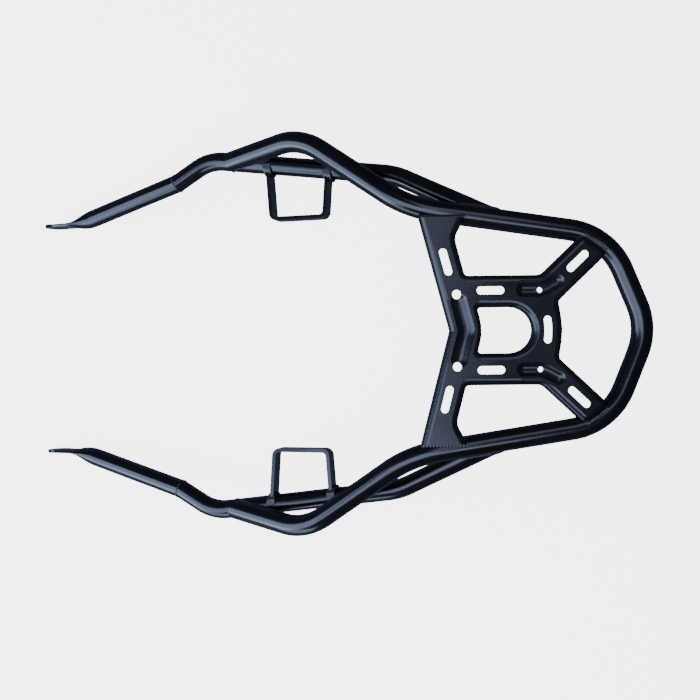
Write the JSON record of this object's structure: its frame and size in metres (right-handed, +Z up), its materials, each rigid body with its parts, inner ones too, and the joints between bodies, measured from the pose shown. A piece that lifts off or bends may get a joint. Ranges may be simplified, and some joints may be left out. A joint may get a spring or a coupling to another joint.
{
  "type": "motorcycle luggage rack",
  "caption": "Welded tube rack for a motorcycle's tail: rear hoop with side grab handles, pressed slotted top plate, side rails, folded strap brackets and flattened front bolt tabs.",
  "frame": {"origin": "midway between the two front bolt holes, on their common axis", "axes": "+X to the rear of the vehicle, +Y to its right, +Z up, square to the luggage face"},
  "size_m": [0.6593, 0.4214, 0.2048],
  "materials": {
    "frame": "satin to gloss black stove paint on bent tube and pressed sheet",
    "weld": "the same black paint over rippled weld beads"
  },
  "bodies": {
    "root": {"rear_hoop": "frame", "top_plate": "frame", "side_rail_left": "frame", "side_rail_right": "frame", "front_arm_left": "frame", "front_arm_right": "frame", "seat_bracket_left": "frame", "seat_bracket_right": "frame", "weld_plate_front_left": "weld", "weld_plate_front_right": "weld", "weld_plate_rear_left": "weld", "weld_plate_rear_right": "weld", "weld_grab_left": "weld", "weld_grab_right": "weld", "weld_rail_rear_left": "weld", "weld_rail_rear_right": "weld", "weld_arm_left": "weld", "weld_arm_right": "weld", "weld_bracket_fore_left": "weld", "weld_bracket_aft_left": "weld", "weld_bracket_fore_right": "weld", "weld_bracket_aft_right": "weld"}
  },
  "joints": []
}
